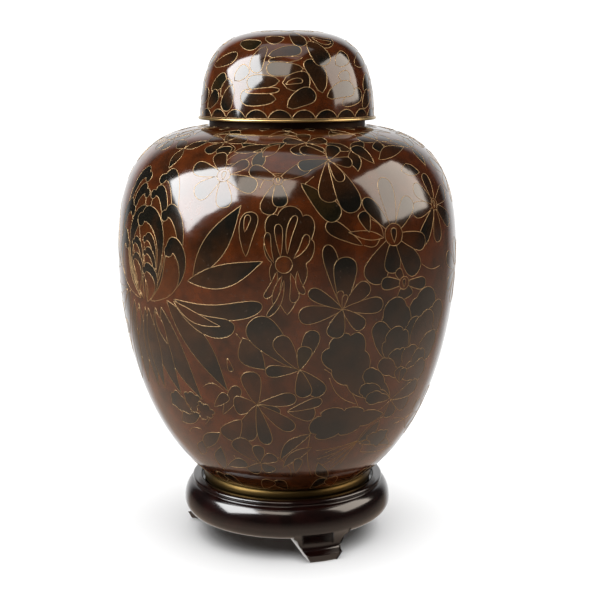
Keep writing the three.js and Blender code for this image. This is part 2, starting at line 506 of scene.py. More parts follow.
def paint(mesh, pattern, places, triangles, owners, normals):
    """Gives the skin its cells' glazes and the outline's exact normals, and the rest bare metal."""
    count = len(triangles)
    slots = np.ones(len(mesh.polygons), int)
    slots[:count] = 0
    mesh.polygons.foreach_set("material_index", slots)
    mesh.shade_smooth()
    mesh.set_sharp_from_angle(angle=math.radians(SHARP_ANGLE))
    corners = len(mesh.loops)
    glazes = np.array([(*cell.glaze.root, *cell.glaze.tip) for cell in pattern.cells]
                      + [(*RUST.root, *RUST.tip)])
    colours = np.zeros((corners, 6))
    colours[:count * 3] = np.repeat(glazes[owners], 3, axis=0)
    for name, part in (("glaze_root", colours[:, :3]), ("glaze_tip", colours[:, 3:])):
        layer = mesh.attributes.new(name, "FLOAT_COLOR", "CORNER")
        layer.data.foreach_set("color", np.column_stack([part, np.ones(corners)]).ravel())
    tones = np.zeros(corners)
    tones[:count * 3] = pattern.tones(places, triangles, owners).ravel()
    mesh.attributes.new("glaze_tone", "FLOAT", "CORNER").data.foreach_set("value", tones)
    exact = np.zeros((corners, 3))
    exact[:count * 3] = normals[triangles].reshape(-1, 3)
    mesh.normals_split_custom_set(exact.tolist())


def wires(name, outline, lines, width, material):
    """Ridges of wire along lines on the outline, closed at their ends."""
    verts, faces = [], []
    for line in lines:
        points, normals = outline.place(*line.T)
        step = np.linalg.norm(np.diff(points, axis=0), axis=1)
        apart = np.concatenate([[True], step > WIRE_STEP])
        points, normals = points[apart], normals[apart]
        if len(points) < 2:
            continue
        along = np.gradient(points, axis=0)
        across = np.cross(along, normals)
        across *= 0.5 * width / np.linalg.norm(across, axis=1)[:, None]
        start = len(verts)
        for p, n, a in zip(points, normals, across):
            verts += [p - a - WIRE_SINK * n, p + WIRE_PROUD * n, p + a - WIRE_SINK * n]
        for i in range(start, len(verts) - 3, 3):
            for a, b in ((0, 1), (1, 2), (2, 0)):
                faces.append((i + b, i + a, i + 3 + a, i + 3 + b))
        faces += [(start, start + 1, start + 2), (len(verts) - 1, len(verts) - 2, len(verts) - 3)]
    piece = new_object(name, verts, faces, material)
    piece.data.shade_smooth()
    return piece


# Materials

PIT = (0.025, 0.017, 0.012, 1.0)
WOOD_DARK = (0.0022, 0.0007, 0.0006, 1.0)
WOOD_RED = (0.006, 0.0014, 0.0011, 1.0)


def material(name, **sockets):
    """A new material whose principled shader has the given values; its tree and shader too."""
    new = bpy.data.materials.new(name)
    new.use_nodes = True
    shader = new.node_tree.nodes["Principled BSDF"]
    for socket, value in sockets.items():
        shader.inputs[socket.replace("_", " ")].default_value = value
    return new, new.node_tree, shader


def node(tree, kind, inputs=(), **settings):
    """A new shader node with its settings and inputs; an input is a value or another node's socket."""
    new = tree.nodes.new(kind)
    for name, value in settings.items():
        setattr(new, name, value)
    for key, value in dict(inputs).items():
        if isinstance(value, bpy.types.NodeSocket):
            tree.links.new(value, new.inputs[key])
        else:
            new.inputs[key].default_value = value
    return new


def noise(tree, scale, detail=3.0, roughness=0.55):
    """Noise in object space, with its scale in cycles per metre."""
    where = node(tree, "ShaderNodeTexCoord").outputs["Object"]
    return node(tree, "ShaderNodeTexNoise",
                {"Vector": where, "Scale": scale, "Detail": detail, "Roughness": roughness}).outputs["Fac"]


def ranged(tree, value, low, high, to_low=0.0, to_high=1.0):
    return node(tree, "ShaderNodeMapRange",
                {0: value, 1: low, 2: high, 3: to_low, 4: to_high}).outputs[0]


def mixed(tree, factor, a, b, blend="MIX"):
    return node(tree, "ShaderNodeMix", {0: factor, 6: a, 7: b},
                data_type="RGBA", blend_type=blend).outputs[2]


def enamel_material():
    """Glaze that runs from a cell's root colour to its tip colour, clouded, pitted and rippled."""
    new, tree, shader = material("enamel", Roughness=0.10, Specular_IOR_Level=0.58)
    root, tip, tone = (
        node(tree, "ShaderNodeAttribute", attribute_name=name)
        for name in ("glaze_root", "glaze_tip", "glaze_tone")
    )
    drift = ranged(tree, noise(tree, 70.0), 0.3, 0.7, -0.35, 0.35)
    shifted = node(tree, "ShaderNodeMath", {0: tone.outputs["Fac"], 1: drift}, operation="ADD").outputs[0]
    blend = ranged(tree, shifted, 0.25, 0.95)
    colour = mixed(tree, blend, root.outputs["Color"], tip.outputs["Color"])
    cloud = ranged(tree, noise(tree, 260.0, 4.0), 0.25, 0.75, 0.72, 1.28)
    grey = node(tree, "ShaderNodeCombineColor", {0: cloud, 1: cloud, 2: cloud}).outputs[0]
    clouded = mixed(tree, 1.0, colour, grey, "MULTIPLY")
    pits = ranged(tree, noise(tree, 900.0, 1.0), 0.70, 0.76)
    tree.links.new(mixed(tree, pits, clouded, PIT), shader.inputs["Base Color"])
    ripple = node(tree, "ShaderNodeBump",
                  {"Height": noise(tree, 55.0, 2.0), "Strength": 0.05, "Distance": 0.004})
    tree.links.new(ripple.outputs[0], shader.inputs["Normal"])
    return new


def metal_material(name, colour, roughness):
    new, tree, shader = material(name, Metallic=1.0, Base_Color=(*colour, 1.0))
    grain = ranged(tree, noise(tree, 320.0), 0.3, 0.7, 0.92 * roughness, 1.08 * roughness)
    tree.links.new(grain, shader.inputs["Roughness"])
    return new


def lacquer_material():
    new, tree, shader = material("lacquered_wood", Roughness=0.16, Specular_IOR_Level=0.60)
    streaks = ranged(tree, noise(tree, 120.0, 5.0), 0.35, 0.65)
    tree.links.new(mixed(tree, streaks, WOOD_DARK, WOOD_RED), shader.inputs["Base Color"])
    return new


enamel = enamel_material()
bare_copper = metal_material("bare_copper", (0.030, 0.018, 0.012), 0.6)
gilt_wire = metal_material("gilt_wire", (0.30, 0.205, 0.105), 0.48)
brass = metal_material("brass", (0.41, 0.30, 0.13), 0.30)
# Painted shade: the foot band's brass is darkened to stand for the shade under the jar's overhang
shade_darkened_brass = metal_material("shade_darkened_brass", (0.085, 0.055, 0.019), 0.40)
lacquer = lacquer_material()


# Flowers

UP = 90.0


def span(pattern, root, tip):
    """Heading in degrees and reach in millimetres from a root spot to a tip spot."""
    across = math.radians(tip[0] - root[0]) * pattern.outline.radius(pattern.zero_run - tip[1])
    rise = tip[1] - root[1]
    return math.degrees(math.atan2(rise, across)), math.hypot(across, rise)


def sprout(pattern, root, heading, reach, width, glaze, form=round_ended):
    """A straight petal from a root spot along a heading."""
    pattern.cell(root, heading, petal(reach, width, form), glaze, reach)


def grown(pattern, root, tip, width, glaze, form=round_ended, bow=0.0):
    """A petal from a root spot to a tip spot, its middle bowed to its left by some millimetres."""
    heading, reach = span(pattern, root, tip)
    shape = petal(reach, width, form)
    shape[:, 1] += bow * np.sin(math.pi * np.clip(shape[:, 0] / reach, 0.0, 1.0))
    pattern.cell(root, heading, shape, glaze, reach)


# How deep a frilled edge's lobes are, as a share of its width
FRILL_DEPTH = 0.14


def frilled(pattern, root, tip, width, glaze, lobes=7):
    """A leaf or petal from root to tip with a scalloped edge."""
    heading, reach = span(pattern, root, tip)
    pattern.cell(root, heading, scalloped(petal(reach, width), lobes, FRILL_DEPTH * width), glaze, reach)


# A small pistil in a flower's ring, as shares of the ring's radius
PISTIL_LENGTH = 1.3
PISTIL_WIDTH = 0.7
PISTIL_DROP = 0.7


def flower(pattern, heart, petals, ring=0.0):
    """Petals from one heart to their tips, given as (bearing, level, width, glaze); a ring covers it."""
    for bearing, level, width, glaze in petals:
        grown(pattern, heart, (bearing, level), width, glaze)
    if ring:
        pattern.cell(heart, 0.0, disc(ring), AMBER, ring)
        pistil = petal(PISTIL_LENGTH * ring, PISTIL_WIDTH * ring)
        pattern.cell((heart[0], heart[1] - PISTIL_DROP * ring), UP, pistil, BARK, ring)


# A curled petal's inner face and hook, as shares of its width
FACE_WIDTH = 0.76
FACE_ASIDE = 0.17
FACE_DROP = 0.40
HOOK_RADIUS = 0.17
HOOK_ASIDE = 0.34
HOOK_DROP = 0.36


def hooked(pattern, root, tip, width, bow, side):
    """A curled petal: a dark crescent that ends in a hook, round a paler inner face."""
    step = math.degrees(width / JAR_RADIUS)
    crescent = len(pattern.cells)
    grown(pattern, root, tip, width, SOOT, round_ended, bow)
    face = (tip[0] - side * FACE_ASIDE * step, tip[1] - FACE_DROP * width)
    grown(pattern, root, face, FACE_WIDTH * width, AMBER, round_ended, bow)
    hook = (tip[0] - side * HOOK_ASIDE * step, tip[1] - HOOK_DROP * width)
    pattern.cell(hook, 0.0, disc(HOOK_RADIUS * width), SOOT, width, crescent)


# The great chrysanthemum's curled head, back to front: (root and tip off its heart, width, bow).
# The first few petals have a mirrored twin.
HEAD_PETALS = (
    (5, 3, 8, 70, 16, -6.5),
    (3, 3, 5, 61, 14, -5),
    (4, 3, 13, 52, 16, -7.5),
    (3, 3, 16, 35.5, 17, -6),
    (1, 3, 1.5, 50, 20, -5.5),
    (-4, 8, -5, 34, 9, -3),
    (2, 4, 2.5, 37, 10, -3),
    (-4, 6, -5, 26, 9, -3),
    (2, 4, 2.5, 30, 9, -3),
    (1, 2, 2.5, 22, 11, -4),
)
MIRRORED_HEAD = 5

# Its long petals: (root and tip off its heart, width, bow)
LONG_PETALS = (
    (22, 18, 37.5, 53.5, 12, -1),
    (20, 16, 44.7, 27.5, 11, -2),
    (11, 5, 31.5, -39, 13, 3),
    (8, 1, 20.5, -46, 12, -2),
    (5, 0, 11, -45, 11, -2),
    (1, -1, 2, -44, 10, 0),
)


# Its side petals: (root and tip off its heart, width, glaze, form, bow)
SIDE_PETALS = (
    (14, 6, 44.5, 6, 9.5, SOOT, round_ended, -4),
    (14, 5, 35.5, -6, 12, SOOT, round_ended, -4),
    (14, 5, 31, -5, 5.5, BARK, pointed, -2),
    (5, -2, 9, -18, 5, RUST, pointed, 0),
)


def chrysanthemum(pattern, bearing, level):
    """A great flower seen from the side: curled petals above its heart, long ones fanned below."""
    def spot(side, off, up):
        return bearing + side * off, level + up

    for side in (-1, 1):
        for off, up, tip_off, tip_up, width, bow in LONG_PETALS:
            root, tip = spot(side, off, up), spot(side, tip_off, tip_up)
            grown(pattern, root, tip, width, SOOT, pointed, side * bow)
        for off, up, tip_off, tip_up, width, glaze, form, bow in SIDE_PETALS:
            root, tip = spot(side, off, up), spot(side, tip_off, tip_up)
            grown(pattern, root, tip, width, glaze, form, side * bow)
    for i, (off, up, tip_off, tip_up, width, bow) in enumerate(HEAD_PETALS):
        for side in (-1, 1) if i < MIRRORED_HEAD else (1,):
            root, tip = spot(side, off, up), spot(side, tip_off, tip_up)
            hooked(pattern, root, tip, width, side * bow, side)


# The lobed figure with long fingers: its body, ring and fingers (root and tip spots, width, bow)
MOTH_LENGTH = 50.0
MOTH_WIDTH = 25.0
MOTH_LOBES = 9
MOTH_LOBE_DEPTH = 3.6
MOTH_RING = 4.0
MOTH_FINGERS = (
    (-2, 11, -2.8, 26, 4.2, 0),
    (0, 12, 2.6, 30, 4.0, 1),
    (2, 10, 6.2, 21, 4.2, -1),
    (-4, 8, -6, 22, 3.6, 1),
    (-3, 4, -6.6, -9, 4.2, 1),
    (-1.5, 2, -3.4, -13, 4.2, -1),
    (1, 3, 2, -11, 5.0, 1),
    (3, 4, 5, -7, 3.6, -1),
    (-1, 0, -6, -18, 3.4, 2),
)


def moth(pattern, at):
    """A lobed figure with long fingers above and below a ring."""
    root = at(0, -17)
    heading, _ = span(pattern, root, at(1, 33))
    body = scalloped(petal(MOTH_LENGTH, MOTH_WIDTH), MOTH_LOBES, MOTH_LOBE_DEPTH)
    pattern.cell(root, heading, body, BARK, MOTH_LENGTH)
    for root_b, root_l, tip_b, tip_l, width, bow in MOTH_FINGERS:
        grown(pattern, at(root_b, root_l), at(tip_b, tip_l), width, RUST, round_ended, bow)
    pattern.cell(at(-1, 7), 0.0, disc(MOTH_RING), AMBER, MOTH_RING)


def small_frilled(pattern, root, tip, width, glaze):
    frilled(pattern, root, tip, width, glaze, lobes=5)


# The full flower, back to front: kind of petal, root, and petals as (tip bearing and level, width, glaze)
PEONY = (
    (small_frilled, (43, -55), (
        (52, -11, 26, SOOT), (35, -13, 20, SOOT), (61, -20, 20, BARK), (29, -24, 12, SOOT),
        (46, -24, 15, SOOT), (54, -23, 20, BARK), (36, -28, 18, SOOT), (60, -36, 16, SOOT),
        (37, -40, 15, SOOT), (47, -39, 14, BARK), (54, -44, 13, SOOT), (32, -44, 9, BARK),
        (57, -53, 13, BARK),
    )),
    (grown, (43, -58), ((41, -49, 7, BARK), (44, -50, 6, SOOT))),
    (small_frilled, (40, -66), ((27, -48, 10, SOOT), (26, -57, 9, SOOT), (29, -63, 8, SOOT))),
    (grown, (41, -67), ((43, -78, 9, BARK), (52, -73, 10, BARK), (55, -62, 10, BARK))),
)


def peony(pattern, at):
    """A full flower of scalloped petals, with its heart, side leaves and lower petals."""
    for kind, root, petals in PEONY:
        for bearing, level, width, glaze in petals:
            kind(pattern, at(*root), at(bearing, level), width, glaze)


# Plain round flowers between the two gardens: (heart's bearing and level, reach)
DAISIES = ((76, -6, 22), (82, 44, 20), (73, -84, 19), (96, -36, 18))
DAISY_STEP = 51
DAISY_WIDTH = 9.0
DAISY_SHORT = 0.8
DAISY_RING = 3.2


def daisy(pattern, heart, reach):
    """A round flower with every third petal longer than the rest."""
    for i, turn in enumerate(range(0, 360, DAISY_STEP)):
        share = DAISY_SHORT if i % 3 else 1.0
        pattern.cell(heart, turn, petal(share * reach, DAISY_WIDTH), BARK if i % 2 else SOOT, reach)
    pattern.cell(heart, 0.0, disc(DAISY_RING), AMBER, 1.25 * DAISY_RING)


def stem(pattern, root, tip, bow):
    """A single wire on the bare ground from root to tip, bowed to its left."""
    heading, reach = span(pattern, root, tip)
    t = np.linspace(0.0, 1.0, max(6, int(reach / LINE_STEP)))
    pattern.stroke(root, heading, np.column_stack([reach * t, bow * np.sin(math.pi * t)]))


# A spray's wires: where it grows, their headings and reach, how they bend, and the short ones' share
SPRAY_SPOT = (30, -90)
SPRAY_HEADINGS = range(190, 260, 9)
SPRAY_REACH = 22.0
SPRAY_BEND = 18
SPRAY_SHORT = 0.8


def spray(pattern, spot):
    """Fine wires fanned from a spot on the bare ground."""
    for i, heading in enumerate(SPRAY_HEADINGS):
        share = 1.0 if i % 2 else SPRAY_SHORT
        line = petal(share * SPRAY_REACH, 0.0, bend=SPRAY_BEND * (-1) ** i)
        pattern.stroke(spot, heading, line[:len(line) // 2])


# Single leaves behind the flowers: (root and tip bearing and level, width, glaze, form, bow)
LEAVES = (
    (-24, 57, -26.5, 67, 9, SOOT, round_ended, 0),
    (-23, 55, -11, 63, 6, RUST, pointed, 1),
    (-21, 63, -7, 69, 6, SOOT, pointed, 0),
    (-9, 60, -3, 70, 6, AMBER, pointed, 0),
    (15, 61, 5, 66, 8, BARK, round_ended, 0),
    (33, 55, 28, 67, 9, SOOT, round_ended, 0),
    (36, 57, 56, 64, 7, BARK, pointed, 2),
    (44, 50, 54, 48, 7, SOOT, pointed, 1),
    (-12.5, 10.5, -11, 31.5, 9.5, BARK, round_ended, 1),
    (-13, 22, -12, 30, 3.4, RUST, round_ended, 0),
    (23.5, 15, 12, 26, 8, BARK, round_ended, 0),
    (31, 18, 19, 21.5, 4.2, RUST, pointed, 0),
    (26, 21, 24, 31, 7, SOOT, round_ended, 0),
    (-14, -29, -7, -45, 12, SOOT, pointed, -2),
    (-19.5, -40, -18.5, -47, 3, RUST, round_ended, 0),
    (-24, -72, -16.5, -55, 7, BARK, round_ended, 0),
    (-27, -68, -21, -60, 6, BARK, round_ended, 0),
    (-46, -82, -34, -74, 8, SOOT, pointed, 1),
    (-39, -97, -27, -84, 7, SOOT, pointed, 1),
    (-34, -113, -29, -94, 7, SOOT, pointed, 1),
    (-30, -109, -19, -103, 8, SOOT, round_ended, 0),
    (-44, -104, -38, -92, 6, BARK, pointed, 0),
    (9, -82, -3, -100, 6, SOOT, pointed, -3),
    (10, -91, -2, -106, 6, BARK, pointed, -2),
    (4, -111, 5, -99, 5, BARK, round_ended, 0),
    (22, -118, 14, -103, 6, SOOT, pointed, 1),
    (38, -79, 30, -91, 7, SOOT, pointed, 2),
    (31, -92, 55, -101, 6, SOOT, pointed, 3),
)


# Frilled leaves: (root and tip bearing and level, width, glaze)
FRILLED_LEAVES = (
    (-38, -75, -47, -66, 12, SOOT),
    (-37, -74, -36, -62, 11, SOOT),
    (-34, -77, -30, -68, 11, BARK),
    (28, -63, 16, -29, 24, SOOT),
    (39, -75, 9, -77, 20, SOOT),
    (34, -88, 46, -93, 12, SOOT),
)

# Single wires: (root and tip bearing and level, bow)
STEMS = (
    (9, -80, 12, -113, -2),
    (12, -45, 27, -70, 3),
    (14, -50, 25, -66, -3),
    (-16, -27, -7, -44, 0),
    (40, -68, 27, -70, 4),
    (39, -77, 30, -90, -3),
    (30, -90, 34, -99, 2),
    (34, -99, 60, -102, -2),
    (46, -80, 62, -92, 3),
    (48, -84, 66, -78, -2),
    (-30, -57, -22, -58, 3),
    (-30, -68, -33, -80, 2),
    (-44, -88, -36, -84, 2),
    (-4, -98, 2, -113, 2),
    (-24, -99, -16, -112, -2),
    (-9, 42, 0, 50, 4),
    (5, 44, 9, 49, 0),
    (27, 27, 31, 18, 2),
    (24, 15, 30, 19, -3),
    (47, 3, 58, 0, -2),
    (33, -13, 31, -21, 2),
)

# Flowers: heart, ring's radius, and petals as (tip bearing and level, width, glaze)
BLOOMS = (
    ((-22, 49), 3.4, ((-31, 38, 10, BARK), (-20, 33, 9, BARK), (-10, 43, 9, SOOT), (-35, 53, 9, SOOT),
                      (-27, 62, 8, BARK), (-14, 57, 7, RUST))),
    ((-3, 47), 2.4, ((-6.5, 30.5, 9, BARK), (-2, 34, 8, SOOT), (8, 55, 8, BARK), (-13, 53, 8, BARK))),
    ((4.5, 45.5), 0.0, ((16, 28, 11, MOSS),)),
    ((15, 58), 0.0, ((13, 36, 11, BARK), (21.5, 31, 13, SOOT), (18.5, 46, 6, BARK), (24, 56, 7, BARK),
                     (4, 54, 7, MOSS), (20, 68, 8, SOOT))),
    ((57, 31), 3.0, ((44, 29, 9, BARK), (47, 41, 9, SOOT), (56, 47, 8, BARK), (47, 13, 9, SOOT),
                     (57, 12, 9, BARK), (68, 20, 9, SOOT), (69, 37, 9, BARK))),
    ((35, 19), 5.4, ((26, -3, 15, BARK), (34, 0.5, 11, SOOT), (45, -1, 13, SOOT), (49, 13, 10, BARK),
                     (44, 36, 10, SOOT), (34, 47, 10, BARK), (25, 37, 8, SOOT))),
    ((17, -15), 0.0, ((12, 16, 8, BARK), (18, 10, 13, SOOT), (25.5, -3.5, 9, BARK), (31, -14, 9, BARK),
                      (24.5, -25, 8, BARK), (14.5, -29, 10, SOOT), (3.5, -18, 10, BARK),
                      (6.5, -5.5, 7, SOOT), (16, -6, 4, AMBER), (18, -8, 3, AMBER))),
    ((39, -5), 3.2, ((30, -4, 7, SOOT), (49.5, -7, 7, SOOT), (40, -13, 12, SOOT), (36, 2, 5, BARK))),
    ((4, -45), 0.0, ((-11, -20, 17, SOOT), (-3, -28, 10, BARK), (8.5, -25, 9, SOOT), (6, -33, 8, MOSS),
                     (12, -59, 10, SOOT), (6, -60, 9, SOOT), (-7, -46, 7, SOOT))),
    ((-10.5, -64.5), 0.0, ((-12.5, -46.5, 11, BARK), (3, -60, 8, BARK), (-2.5, -69, 6, SOOT),
                           (2.5, -79, 9, BARK), (-19, -66, 12, BARK), (-17.5, -87, 12, BARK),
                           (-8, -89, 8, SOOT))),
    ((0, -68), 0.0, ((10, -70, 10, BARK), (12, -62, 6, BARK))),
    ((-17, -74), 0.0, ((-25, -87, 12, BARK),)),
    ((-12, -103), 0.0, ((-21, -87, 12, BARK), (-12, -90, 7, SOOT), (-5, -97, 8, BARK),
                        (-7, -110, 8, SOOT), (-18, -112, 8, BARK))),
)


def garden(pattern, start):
    """The flowers of one half of the jar, laid round from a bearing."""
    def at(bearing, level):
        return start + bearing, level

    chrysanthemum(pattern, *at(-52, -19))
    for root_b, root_l, tip_b, tip_l, width, glaze, form, bow in LEAVES:
        grown(pattern, at(root_b, root_l), at(tip_b, tip_l), width, glaze, form, bow)
    for root_b, root_l, tip_b, tip_l, width, glaze in FRILLED_LEAVES:
        frilled(pattern, at(root_b, root_l), at(tip_b, tip_l), width, glaze)
    moth(pattern, at)
    for heart, ring, petals in BLOOMS:
        flower(pattern, at(*heart), [(start + b, *rest) for b, *rest in petals], ring)
    peony(pattern, at)
    for bearing, level, reach in DAISIES:
        daisy(pattern, at(bearing, level), reach)
    spray(pattern, at(*SPRAY_SPOT))
    for root_b, root_l, tip_b, tip_l, bow in STEMS:
        stem(pattern, at(root_b, root_l), at(tip_b, tip_l), bow)


# The borders under the neck and at the foot
NECK_LEVEL = JAR_WIDEST_RUN
FOOT_LEVEL = JAR_WIDEST_RUN - jar_outline.runs[-1]
BORDER_LEAVES = 24
BORDER_FLOWERS = 10
BORDER_PETALS = 5


def borders(pattern):
    """Rows of leaves and small flowers on the shoulder under the neck, and leaves at the foot."""
    for i in range(BORDER_LEAVES):
        turn = i * 360 / BORDER_LEAVES
        lean = (-1) ** i
        glaze = (BARK, SOOT, RUST)[i % 3]
        sprout(pattern, (turn, NECK_LEVEL - 7.0), UP, 6.0, 5.5, SOOT)
        sprout(pattern, (turn + 6.0, NECK_LEVEL - 17.0), UP + 40.0 * lean, 12.0, 6.5, glaze)
        sprout(pattern, (turn, FOOT_LEVEL + 1.0), UP + 25.0 * lean, 13.0, 8.0, glaze)
    for i in range(BORDER_FLOWERS):
        turn = i * 360 / BORDER_FLOWERS
        heart = (turn + 8.0, NECK_LEVEL - 24.0)
        for j in range(BORDER_PETALS):
            glaze = BARK if (i + j) % 2 else SOOT
            sprout(pattern, heart, 18.0 + j * 360 / BORDER_PETALS, 11.0, 8.0, glaze)
        leaf_root = (turn + 26.0, NECK_LEVEL - 31.0)
        for heading in (35.0, 150.0, 265.0):
            sprout(pattern, leaf_root, heading, 13.0, 6.5, MOSS if i % 2 else SOOT, pointed)


jar_pattern = Pattern(jar_outline, JAR_WIDEST_RUN, JAR_ROOM)
borders(jar_pattern)
garden(jar_pattern, 0.0)
garden(jar_pattern, 180.0)


# The lid, with levels up from its edge: a border of discs and a flower on its crown
LID_CROWN = lid_outline.runs[-1]
LID_SCALLOPS = 24
SCALLOP_START = 10.5
SCALLOP_LEVEL = -1.6
SCALLOP_RADIUS = 6.3
SCALLOP_REACH = 6.0
CROWN_PETALS = 9
CROWN_HEART = 2.5
CROWN_REACH = 19.0
CROWN_WIDTH = 8.0

# Leaves of the lid: (root and tip bearing and level, width, glaze, bow)
LID_REPEATS = 3
LID_LEAVES = (
    (-22, 46, -5, 42, 8, BARK, 0),
    (6, 53, 12, 38, 8, SOOT, 0),
    (22, 48, 45, 41, 10, BARK, -3),
    (25, 46, 42, 41, 4, RUST, -2),
    (-46, 42, -24, 38, 8, MOSS, 0),
    (-17, 38, -22, 23, 8, BARK, -1),
    (-37, 19, -28, 26, 8, SOOT, 0),
    (-64, 27, -40, 32, 8, BARK, 0),
    (-60, 14, -45, 21, 8.5, MOSS, 0),
    (-48, 11, -40, 19, 7, BARK, 0),
    (-38, 17, -44, 4, 8.5, SOOT, 0),
    (-63, 5, -51, 13, 8, SOOT, 0),
    (-14, 32, 11, 35.5, 7.5, SOOT, 1),
    (11, 31, -13, 29, 4, RUST, 0),
    (11, 25, -14, 25, 8, SOOT, 0),
    (-5, 19, -27, 18, 8, SOOT, 0),
    (-7, 10, -31, 11, 9, SOOT, 0),
    (-28, 13.5, -5, 14.5, 3.2, RUST, 0),
    (-3, 18, 15, 19, 11, BARK, 0),
    (-1, 17.4, 10, 19, 3, RUST, 0.6),
    (23, 13, 15, 30, 10.5, SOOT, -1.5),
    (0, 6, 18, 13, 9.5, SOOT, 1),
    (19, 42, 28, 27, 11, SOOT, 0),
    (36, 27, 51, 33, 8.5, SOOT, 0),
    (36, 21, 47, 21, 7, BARK, 0),
    (37, 7, 57, 13, 8, BARK, 0),
    (26, 11, 49, 15, 9, SOOT, 1.5),
)

lid_pattern = Pattern(lid_outline, LID_CROWN, 0.0)
for i in range(LID_SCALLOPS):
    spot = (SCALLOP_START + i * 360 / LID_SCALLOPS, SCALLOP_LEVEL)
    lid_pattern.cell(spot, UP, disc(SCALLOP_RADIUS), SOOT, SCALLOP_REACH)
for i in range(CROWN_PETALS):
    turn = i * 360 / CROWN_PETALS
    root, tip = (turn, LID_CROWN - CROWN_HEART), (turn, LID_CROWN - CROWN_REACH)
    grown(lid_pattern, root, tip, CROWN_WIDTH, (SOOT, BARK, MOSS)[i % 3])
for i in range(LID_REPEATS):
    turn = i * 360 / LID_REPEATS
    for root_b, root_l, tip_b, tip_l, width, glaze, bow in LID_LEAVES:
        grown(lid_pattern, (turn + root_b, root_l), (turn + tip_b, tip_l), width, glaze, finger, bow)


# The jar and the lid

underside = JAR_LOW.z + JAR_BASE_RECESS
floor_height = underside + JAR_WALL
band_inner = FOOT_BAND_HIGH.x - BAND_WIDTH
jar_inside = inside_of(jar_outline, JAR_WALL)[::INNER_STEP][::-1]
jar_inside = jar_inside[(jar_inside[:, 1] > floor_height) & (jar_inside[:, 1] < NECK_BASE - JAR_WALL)]
neck_inner = NECK_RADIUS - JAR_WALL
jar_inner_line = [
    (band_inner, JAR_LOW.z),
    (band_inner - JAR_BASE_RECESS, underside),
    (AXIS_GAP, underside),
    (AXIS_GAP, floor_height),
    (jar_inside[0, 0] - JAR_WALL, floor_height),
    *jar_inside,
    (neck_inner, NECK_BASE - JAR_WALL),
    (neck_inner, JAR_HIGH.z - NECK_LIP),
    (neck_inner + NECK_LIP, JAR_HIGH.z),
    (NECK_RADIUS - NECK_LIP, JAR_HIGH.z),
    (NECK_RADIUS, JAR_HIGH.z - NECK_LIP),
]
jar, jar_lines = enamelled("jar_enamel", jar_pattern, jar_inner_line, (enamel, bare_copper))
stand_for(jar, "enamel", "jar")
jar_wires = wires("jar_wires", jar_outline, jar_lines, JAR_WIRE, gilt_wire)
stand_for(jar_wires, "brass")

lid_inner_line = inside_of(lid_outline, LID_WALL)[::INNER_STEP][::-1]
lid_inner_line = lid_inner_line[lid_inner_line[:, 0] > CROWN_MARGIN]
lid_inner_line[0] = (LID_HIGH.x - LID_WALL, LID_LOW.z)
lid, lid_lines = enamelled("lid_enamel", lid_pattern, lid_inner_line, (enamel, bare_copper))
stand_for(lid, "enamel", "lid")
lid_wires = wires("lid_wires", lid_outline, lid_lines, LID_WIRE, gilt_wire)
stand_for(lid_wires, "brass")


# The brass bands

def band(name, low, high, metal):
    """A ring with a beaded outside between two corners of its frame box."""
    height = high.z - low.z
    bulge = BAND_BULGE * height
    inner = high.x - BAND_WIDTH
    bead = arc((high.x - bulge, low.z + height / 2), (bulge, height / 2), -90.0, 90.0, BEAD_STEPS)
    piece = turned(name, [(inner, low.z), *bead, (inner, high.z)], metal)
    smooth(piece, BAND_SHARP_ANGLE)
    return piece


# The foot band takes the brass darkened with painted shade
stand_for(band("foot_band_brass", FOOT_BAND_LOW, FOOT_BAND_HIGH, shade_darkened_brass), "brass", "foot_band")
stand_for(band("lid_band_brass", LID_BAND_LOW, LID_BAND_HIGH, brass), "brass", "lid_band")


# The stand

def quadratic(start, pull, end):
    """Points of a curve that leaves and reaches its ends towards a pull point."""
    t = np.linspace(0.0, 1.0, BEND_STEPS)[:, None]
    start, pull, end = (np.array(p, float) for p in (start, pull, end))
    return (1 - t) ** 2 * start + 2 * (1 - t) * t * pull + t**2 * end


def stand_disc():
    """The turned disc: moulding, groove, collar and seat."""
    centre = (MOULDING_RADIUS, MOULDING_HEIGHT)
    lower = arc(centre, (MOULDING_REACH, MOULDING_DROP), -90.0, 0.0, MOULDING_STEPS)
    upper = arc(centre, (MOULDING_REACH, MOULDING_RISE), 0.0, MOULDING_TOP_ANGLE, MOULDING_STEPS)
    moulding = np.vstack([lower, upper[1:]])
    collar_foot = (COLLAR_RADIUS, STAND_HIGH.z - COLLAR_EDGE)
    groove = quadratic(moulding[-1], (GROOVE_RADIUS, MOULDING_HEIGHT + MOULDING_RISE), collar_foot)
    edge = (COLLAR_EDGE, COLLAR_EDGE)
    outer = arc((COLLAR_RADIUS - COLLAR_EDGE, collar_foot[1]), edge, 0.0, 90.0, EDGE_STEPS)
    inner = arc((SEAT_RADIUS + COLLAR_EDGE, collar_foot[1]), edge, 90.0, 180.0, EDGE_STEPS)
    outline = [(AXIS_GAP, UNDERSIDE), *moulding, *groove[1:-1], *outer, *inner,
               (SEAT_RADIUS, SEAT_HEIGHT), (AXIS_GAP, SEAT_HEIGHT)]
    return turned("stand_disc", outline, lacquer)


def foot_half_width(height):
    """Half the width of a foot at a height: tapered, flaring where it meets the disc."""
    flare_start = UNDERSIDE - FOOT_FLARE_DROP
    taper = np.interp(height, (0.0, flare_start), (FOOT_BOTTOM_HALF_WIDTH, FOOT_TOP_HALF_WIDTH))
    flare = np.clip((height - flare_start) / FOOT_FLARE_DROP, 0.0, 1.0)
    return taper + FOOT_FLARE * flare**2


